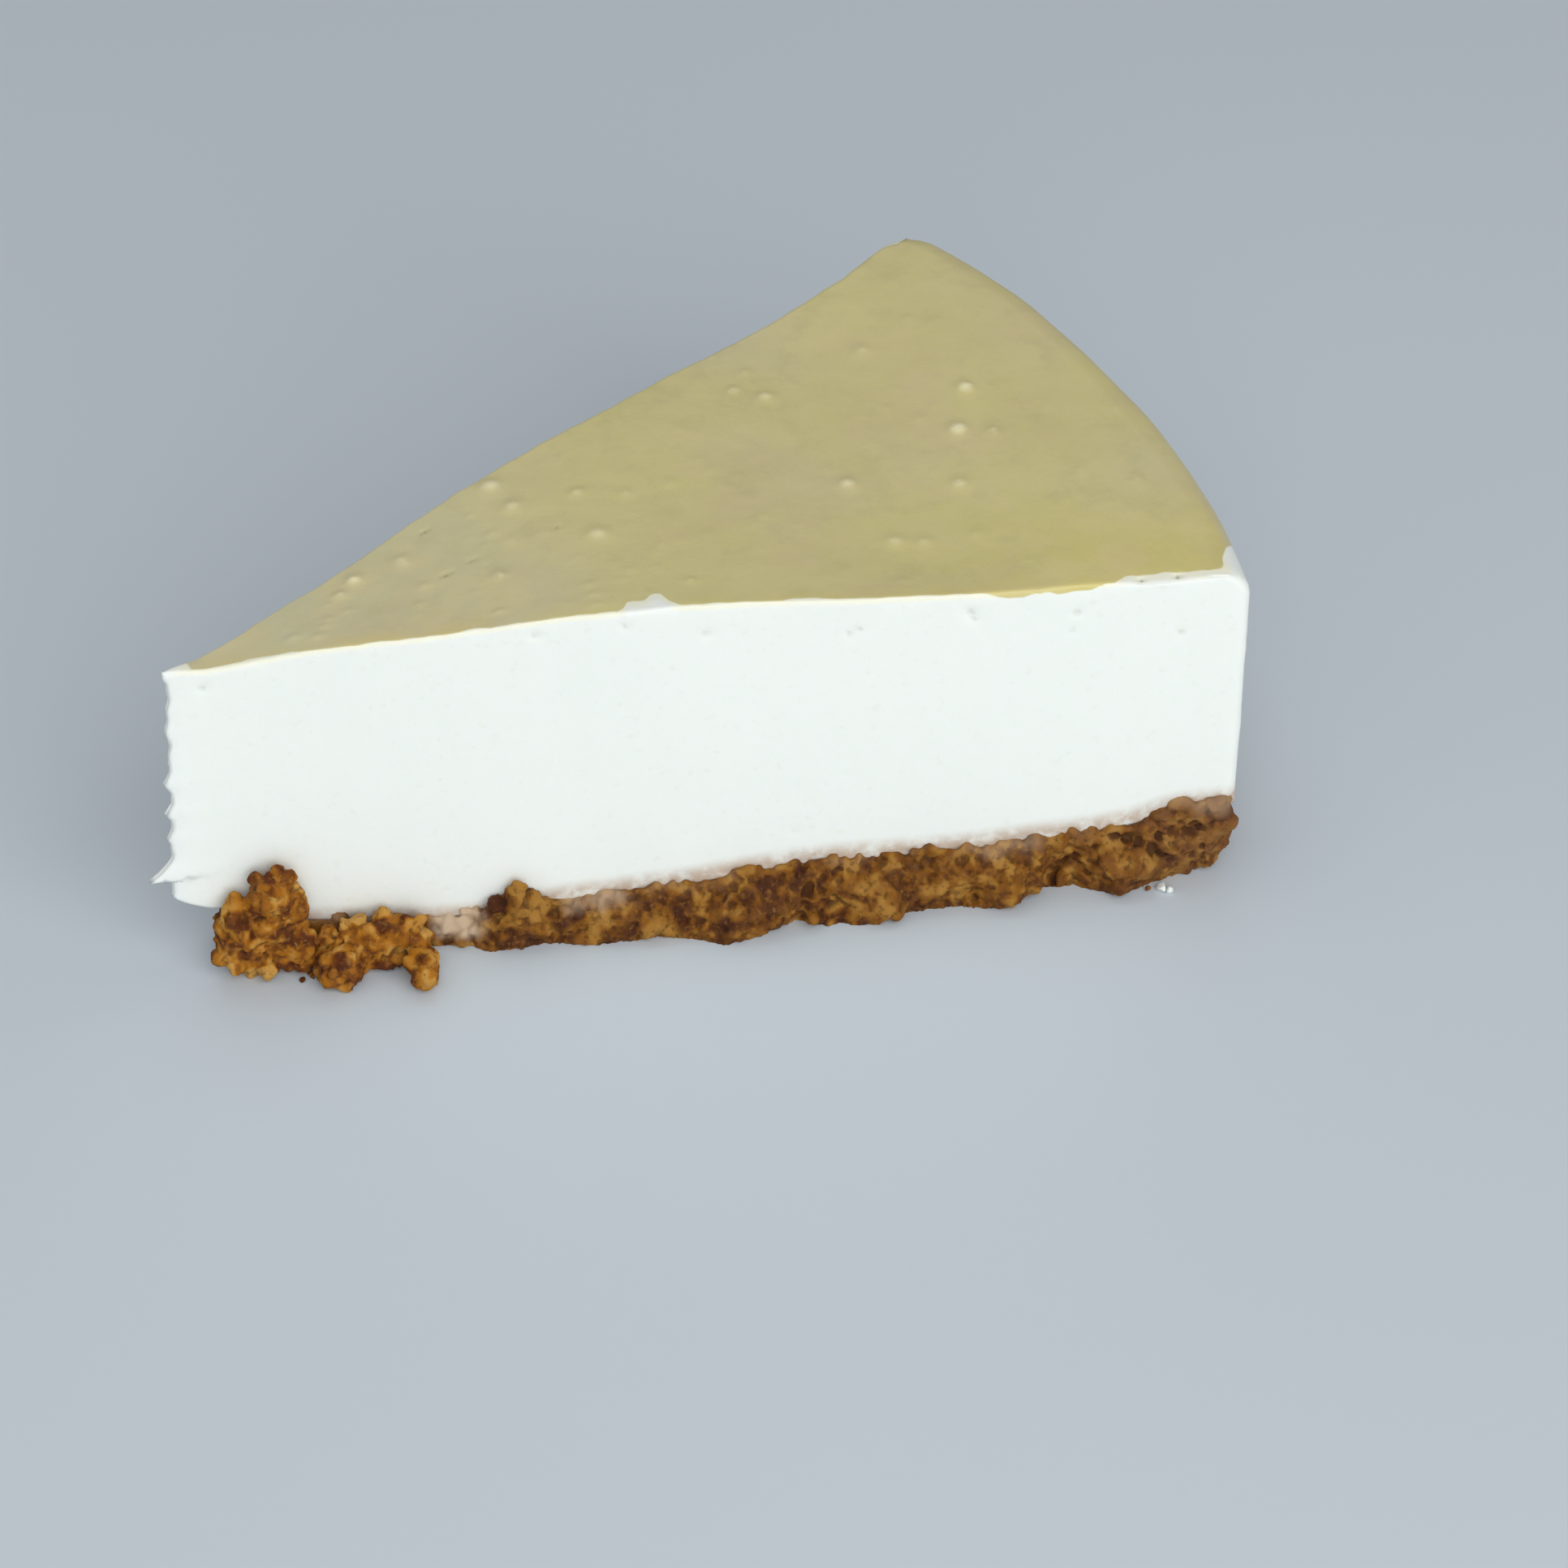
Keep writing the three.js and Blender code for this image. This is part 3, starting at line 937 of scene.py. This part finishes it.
def shift_foot(points):
    """Spreads the foot of the shown side unevenly and curves its end in."""
    along, out = along_cut(points)
    shown = smoothstep(-9.0, -1.0, out)
    spread = between(FOOT_SHIFT, along, left=0)
    spread *= shown * smoothstep(FOOT_HEIGHT, 1.0, points[:, 2])
    tuck = UNDERCUT * smoothstep(UNDERCUT_HEIGHT, 0.0, points[:, 2])
    tuck *= smoothstep(CAKE_RADIUS - UNDERCUT_REACH, CAKE_RADIUS, along) * shown
    return points + spread[:, None] * cut_normal(-1) - tuck[:, None] * SHOWN_RUN


def filling_smear(points, under_of):
    """How much filling is smeared on the crumbs: at the top of the shown side, and in one gap."""
    along, out = along_cut(points)
    shown = smoothstep(-3.0, -1.0, out)
    below = under_of(along, -HALF_ANGLE) - points[:, 2]
    edge = smoothstep(SMEAR_HEIGHT, -0.4, below + 1.1 * layered_noise(points, 2.6, 3, 95))
    ragged = 0.8 * layered_noise(points, 1.4, 2, 97)
    gap = smoothstep(PALE_START - PALE_FADE, PALE_START + PALE_FADE, along + ragged)
    gap *= smoothstep(PALE_END + PALE_FADE, PALE_END - PALE_FADE, along + ragged)
    gap *= smoothstep(0.8, 2.4, points[:, 2] + ragged)
    clean = smoothstep(CLEAN_START - 1, CLEAN_START, along) * smoothstep(CLEAN_END, CLEAN_END - 2, along)
    broken = smoothstep(-0.3, 0.4, layered_noise(points, 4.5, 2, 93))
    edge *= broken * (1 - clean) * between(EDGE_SMEAR, along)
    return shown * np.maximum(edge, GAP_SMEAR * gap)


# Crumbs on the peak and pale left side of the upright chunk, placed as on the base.
UPRIGHT_LANDMARKS = [
    (9.1, 2.2, 13.9, 2.8, 0.5),
    (8.4, 3.6, 11.0, 2.6, 0.35),
    (10.6, 3.2, 9.4, 2.4, 0.2),
    (3.9, 2.6, 9.4, 2.4, 0.5),
    (5.6, 2.6, 10.2, 2.2, 0.7),
    (4.4, 3.6, 6.6, 2.4, 1.0),
    (3.6, 3.8, 2.6, 2.4, 0.95),
    (7.4, 4.6, 1.6, 2.4, 0.9),
]
# Crumbs that close the cleft between the two chunks.
LOW_LANDMARKS = [
    (13.6, 2.8, 4.2, 2.2, 0.3),
    (13.9, 3.4, 2.2, 2.4, 0.1),
    (14.6, 2.4, 5.2, 1.8, 0.5),
    (14.4, 6.4, 2.4, 3.0, 0.0),
    (15.4, 4.6, 3.6, 2.4, 0.0),
    (23.6, 2.6, 5.4, 2.2, 0.1),
    (19.4, 3.0, 5.2, 2.2, 1.0),
    (16.6, 2.2, 5.5, 2.2, 0.8),
    (18.4, 2.0, 5.8, 2.2, 0.95),
    (20.9, 2.0, 5.8, 2.4, 0.8),
    (22.6, 2.2, 5.4, 2.2, 0.5),
    (25.2, 2.4, 5.0, 2.2, 0.7),
]


def anywhere(points):
    return np.ones(len(points), bool)


def crumb_chunk(node, name, seed, landmarks):
    """A loose chunk, with crumbs all over it."""
    rng = np.random.default_rng(seed)
    core = cad_core(node)
    spread = spread_crumbs(node, CHUNK_CRUMB_TRIES, rng, anywhere, CHUNK_LARGEST)
    return crumb_mass(name, core, spread, landmarks, rng, CHUNK_VOXEL, CHUNK_FACES)


# Bits that fell beside the slice: along the shown cut, outwards from it, and size.
FALLEN_CRUMBS = [(12.3, 4.4, 1.1), (11.3, 4.9, 0.7), (110.4, 2.6, 0.8)]
FALLEN_FILLING = [(112.0, 2.9, 1.6), (112.9, 3.3, 0.9)]
# How high the middle of a fallen bit lies, as a share of its size.
FALLEN_HEIGHT = 0.32
# Fallen filling is this far from skin and stain.
UNTOUCHED = 9.0


def fallen_bits(name, places, seed):
    """Small angular bits that lie on the floor."""
    rng = np.random.default_rng(seed)
    centres = np.array([placed(along, out, FALLEN_HEIGHT * size) for along, out, size in places])
    points, faces = crumb_shapes(centres, np.array([size for _, _, size in places]), rng)
    points += 0.08 * layered_noise(points, 0.5, 2, 99)[:, None]
    points[:, 2] = np.maximum(points[:, 2], 0)
    return make_object(name, points, faces)


# ---- Materials ----


class Shader:
    """A material whose nodes are added one at a time."""

    def __init__(self, name):
        self.material = bpy.data.materials.new(name)
        self.material.use_nodes = True
        self.tree = self.material.node_tree
        self.surface = self.tree.nodes["Principled BSDF"]

    def node(self, kind, inputs, **settings):
        made = self.tree.nodes.new(kind)
        for name, value in settings.items():
            setattr(made, name, value)
        self.fill(made, inputs)
        return made

    def fill(self, node, inputs):
        for name, value in inputs.items():
            if isinstance(value, bpy.types.NodeSocket):
                self.tree.links.new(value, node.inputs[name])
            else:
                node.inputs[name].default_value = value

    def attribute(self, name):
        return self.node("ShaderNodeAttribute", {}, attribute_name=name).outputs["Fac"]

    def place(self):
        return self.node("ShaderNodeTexCoord", {}).outputs["Object"]

    def noise(self, grain, detail=3.0, roughness=0.5):
        """Noise with lumps about one grain across, in metres."""
        inputs = {"Vector": self.place(), "Scale": 1 / grain, "Detail": detail, "Roughness": roughness}
        return self.node("ShaderNodeTexNoise", inputs).outputs["Fac"]

    def ramp(self, value, low, high, start=0.0, end=1.0):
        """Maps low..high to start..end, softly and without leaving that range."""
        inputs = {"Value": value, "From Min": low, "From Max": high, "To Min": start, "To Max": end}
        node = self.node("ShaderNodeMapRange", inputs, interpolation_type="SMOOTHSTEP")
        return node.outputs["Result"]

    def math(self, operation, first, second):
        node = self.node("ShaderNodeMath", {0: first, 1: second}, operation=operation)
        return node.outputs[0]

    def along_x(self, low, high):
        """0 to 1 between two places along X, in metres."""
        split = self.node("ShaderNodeSeparateXYZ", {"Vector": self.place()})
        return self.ramp(split.outputs["X"], low, high)

    def mix(self, share, first, second):
        """A colour between two colours, each an everyday 0..255 one or a socket."""
        first, second = (srgb(*c) if isinstance(c, tuple) else c for c in (first, second))
        inputs = {0: share, 6: first, 7: second}
        return self.node("ShaderNodeMix", inputs, data_type="RGBA").outputs[2]

    def tint(self, colour, value, low, high, share, tone):
        """Mixes a tone in, from none where the value is low to its share where it is high."""
        return self.mix(self.ramp(value, low, high, 0, share), colour, tone)

    def stops(self, value, colours):
        """A colour band: evenly spaced colours from 0.25 to 0.75 of the value."""
        node = self.node("ShaderNodeValToRGB", {"Fac": value})
        band = node.color_ramp
        for _ in range(len(colours) - 2):
            band.elements.new(0.5)
        for number, colour in enumerate(colours):
            band.elements[number].position = 0.25 + 0.5 * number / (len(colours) - 1)
            band.elements[number].color = srgb(*colour)
        return node.outputs["Color"]

    def bump(self, height, strength, distance):
        inputs = {"Height": height, "Strength": strength, "Distance": distance}
        return self.node("ShaderNodeBump", inputs).outputs["Normal"]


def srgb(red, green, blue):
    """A linear colour from an everyday 0..255 one."""
    def linear(value):
        value /= 255
        return value / 12.92 if value <= 0.04045 else ((value + 0.055) / 1.055) ** 2.4

    return (linear(red), linear(green), linear(blue), 1.0)


def curd_colour(shader, skin_edge):
    """White set curd, cream where it is bare on top, and stained by the crumbs at its foot."""
    curd = shader.mix(shader.noise(0.02, 4), (242, 245, 238), (237, 242, 237))
    curd = shader.tint(curd, shader.noise(0.0012, 3), 0.6, 0.75, 0.2, (222, 224, 210))
    cream = shader.ramp(shader.attribute("on_top"), 0.3, 1, 0.05, 0.95)
    cream = shader.math("MULTIPLY", shader.ramp(skin_edge, -2.2, 0.0), cream)
    curd = shader.mix(cream, curd, (242, 240, 216))

    stain = shader.ramp(shader.attribute("foot"), 2.9, 0.4)
    patchy = shader.ramp(shader.noise(0.0022, 4, 0.6), 0.3, 0.6, 0.25, 1.0)
    stain = shader.math("MULTIPLY", stain, patchy)
    return shader.mix(shader.math("MULTIPLY", stain, 0.85), curd, (190, 164, 140))


def skin_colour(shader):
    """Beige baked skin: mottled, paler towards the tip and yellower at the shown cut."""
    skin = shader.mix(shader.ramp(shader.noise(0.03, 2), 0.35, 0.65), (210, 199, 136), (207, 197, 149))
    skin = shader.mix(shader.along_x(0.005, -0.045), skin, (203, 197, 156))
    beside_cut = shader.ramp(shader.attribute("cut_edge"), 24.0, 3.0)
    corner = shader.math("MULTIPLY", beside_cut, shader.along_x(0.012, 0.05))
    skin = shader.mix(shader.math("MULTIPLY", corner, 0.85), skin, (208, 196, 118))
    # Mottling, greyer patches and rosy patches.
    skin = shader.tint(skin, shader.noise(0.007, 4, 0.6), 0.4, 0.65, 0.5, (216, 202, 146))
    skin = shader.tint(skin, shader.noise(0.005, 4, 0.65), 0.48, 0.75, 0.3, (184, 175, 124))
    skin = shader.tint(skin, shader.noise(0.018, 3, 0.6), 0.45, 0.7, 0.4, (208, 188, 146))
    # Blister tops paler: partly their own colour, partly a painted highlight.
    skin = shader.tint(skin, shader.attribute("blister"), 0.08, 0.5, 0.85, (244, 234, 190))
    yellow = shader.ramp(shader.attribute("cut_edge"), 3.4, 0.4)
    yellow = shader.math("MULTIPLY", yellow, shader.ramp(shader.noise(0.005, 3), 0.3, 0.6, 0, 0.5))
    return shader.mix(yellow, skin, (214, 200, 128))


def filling_material():
    """White set curd with a baked skin, which ends at the skin's edge."""
    shader = Shader("baked_cheesecake")
    skin_edge = shader.attribute("skin_edge")
    cut = shader.ramp(skin_edge, -0.12, 0.12)
    colour = shader.mix(cut, curd_colour(shader, skin_edge), skin_colour(shader))
    # Painted shade inside the air pits of the shown cut.
    colour = shader.tint(colour, shader.attribute("pit"), 0.2, 0.9, 0.3, (176, 172, 158))
    # Painted shade inside the pinholes of the skin.
    colour = shader.tint(colour, shader.attribute("pinhole"), 0.25, 0.9, 0.5, (138, 122, 80))
    fine = shader.math("ADD", shader.noise(0.0009, 4, 0.6), shader.noise(0.005, 2))
    shader.fill(shader.surface, {
        "Base Color": colour,
        "Roughness": shader.ramp(cut, 0, 1, 0.52, 0.42),
        "Subsurface Weight": 0.25,
        "Subsurface Radius": (1.0, 0.8, 0.55),
        "Subsurface Scale": 0.0025,
        "Specular IOR Level": 0.4,
        "Normal": shader.bump(fine, 0.35, 0.00012),
    })
    return shader.material


def crumb_material(name, tones, dark, light):
    """Biscuit crumb: painted shade in its crevices and hollows, each crumb with its own tone, dull and
    grainy.
    """
    shader = Shader(name)
    colour = shader.stops(shader.attribute("tone"), tones)
    # Pale speckles and dark flecks.
    colour = shader.tint(colour, shader.noise(0.0008, 3, 0.7), 0.52, 0.68, 0.45, light)
    colour = shader.tint(colour, shader.noise(0.0011, 4, 0.7), 0.46, 0.34, 0.5, dark)
    rim = shader.math("MULTIPLY", shader.along_x(0.036, 0.058), 0.4)
    colour = shader.mix(rim, colour, (116, 80, 54))
    # Painted shade: darker deep in the crevices between crumbs and in the broad hollows.
    colour = shader.tint(colour, shader.attribute("crevice_shade"), 0.25, 1.0, 0.5, dark)
    colour = shader.tint(colour, shader.attribute("hollow_shade"), 0.1, 1.0, 0.65, dark)
    colour = shader.mix(shader.attribute("smear"), colour, (200, 178, 150))
    shader.fill(shader.surface, {
        "Base Color": colour,
        "Roughness": shader.ramp(shader.noise(0.0015, 3), 0.3, 0.7, 0.7, 0.92),
        "Specular IOR Level": 0.3,
        "Normal": shader.bump(shader.noise(0.0004, 4, 0.7), 0.6, 0.00015),
    })
    return shader.material


def floor_material():
    shader = Shader("pale_floor")
    colour = shader.mix(shader.noise(0.3, 2), (205, 213, 220), (199, 208, 215))
    shader.fill(shader.surface, {"Base Color": colour, "Roughness": 0.6})
    return shader.material


# ---- The slice ----


def build_filling():
    """The filling and a bit of it that fell on the floor."""
    points, faces, marks = filling_surface()
    piece = make_object("filling_and_skin", points, faces)
    for name, values in marks.items():
        set_attribute(piece.data, name, values)
    material = filling_material()
    finish_piece(piece, material, "filling", "filling")

    bit = fallen_bits("fallen_filling", FALLEN_FILLING, 18)
    far = np.full(len(bit.data.vertices), UNTOUCHED)
    set_attribute(bit.data, "skin_edge", -far)
    set_attribute(bit.data, "foot", far)
    finish_piece(bit, material, "filling")


def build_crumb():
    brown_tones = [(72, 33, 3), (106, 62, 8), (130, 81, 14), (158, 113, 44)]
    golden_tones = [(88, 40, 1), (134, 78, 6), (162, 102, 12), (190, 142, 66)]
    brown = crumb_material("biscuit_crumb", brown_tones, (54, 22, 2), (152, 106, 44))
    golden = crumb_material("loose_biscuit_crumb", golden_tones, (56, 22, 0), (180, 128, 56))
    finish_piece(crumb_base(), brown, "crumb_base", "base")
    upright = crumb_chunk("crumb_chunk_1", "upright_crumb", 15, UPRIGHT_LANDMARKS)
    finish_piece(upright, golden, "loose_crumb", "crumb_chunk_1")
    low = crumb_chunk("crumb_chunk_2", "low_crumb", 16, LOW_LANDMARKS)
    finish_piece(low, golden, "loose_crumb", "crumb_chunk_2")

    bits = fallen_bits("fallen_crumbs", FALLEN_CRUMBS, 17)
    set_attribute(bits.data, "tone", 0.3 + 0.3 * noise(points_of(bits.data), 3.0, 98))
    finish_piece(bits, golden, "loose_crumb")


# ---- Floor, light and camera ----


# Metres.
FLOOR_SIDE = 2.0
# Square softboxes: name, azimuth, elevation, distance, size, power and colour.
SOFTBOXES = [
    ("window", -4, 33, 0.9, 1.0, 7.4, (1, 1, 1)),
    ("fill", -80, 40, 1.0, 0.8, 0.8, (1, 1, 1)),
    ("back", 170, 50, 1.0, 0.8, 1.2, (0.92, 0.96, 1.0)),
]
ROOM_COLOUR = (0.95, 0.97, 1.0, 1.0)
ROOM_STRENGTH = 0.3


def build_floor():
    bpy.ops.mesh.primitive_plane_add(size=FLOOR_SIDE, location=(0, 0, 0))
    floor = bpy.context.object
    floor.name = "floor"
    floor.data.materials.append(floor_material())


def direction(azimuth, elevation):
    """The way from the slice to a place around it. Azimuth 0 is on the -Y side."""
    level = math.cos(elevation)
    return Vector((math.sin(azimuth) * level, -math.cos(azimuth) * level, math.sin(elevation)))


def soft_light(name, azimuth, elevation, distance, size, power, colour):
    """A softbox that looks at the slice."""
    data = bpy.data.lights.new(name, "AREA")
    data.size = size
    data.energy = power
    data.color = colour
    light = bpy.data.objects.new(name, data)
    away = direction(math.radians(azimuth), math.radians(elevation))
    light.location = away * distance
    light.rotation_euler = away.to_track_quat("Z", "Y").to_euler()
    bpy.context.scene.collection.objects.link(light)


def build_light():
    for softbox in SOFTBOXES:
        soft_light(*softbox)
    world = bpy.data.worlds.new("room")
    world.use_nodes = True
    background = world.node_tree.nodes["Background"]
    background.inputs["Color"].default_value = ROOM_COLOUR
    background.inputs["Strength"].default_value = ROOM_STRENGTH
    bpy.context.scene.world = world
    bpy.context.scene.view_settings.view_transform = "Standard"


def build_camera():
    data = bpy.data.cameras.new("camera")
    data.sensor_width = SENSOR
    data.lens = LENS
    data.clip_start = 0.01
    camera = bpy.data.objects.new("camera", data)
    away = direction(CAMERA_AZIMUTH, CAMERA_ELEVATION)
    camera.location = (CAMERA_TARGET + away * CAMERA_DISTANCE) * MM
    turn = away.to_track_quat("Z", "Y").to_matrix()
    camera.rotation_euler = (turn @ Matrix.Rotation(CAMERA_ROLL, 3, "Z")).to_euler()
    bpy.context.scene.collection.objects.link(camera)
    bpy.context.scene.camera = camera


build_filling()
build_crumb()
build_floor()
build_light()
build_camera()
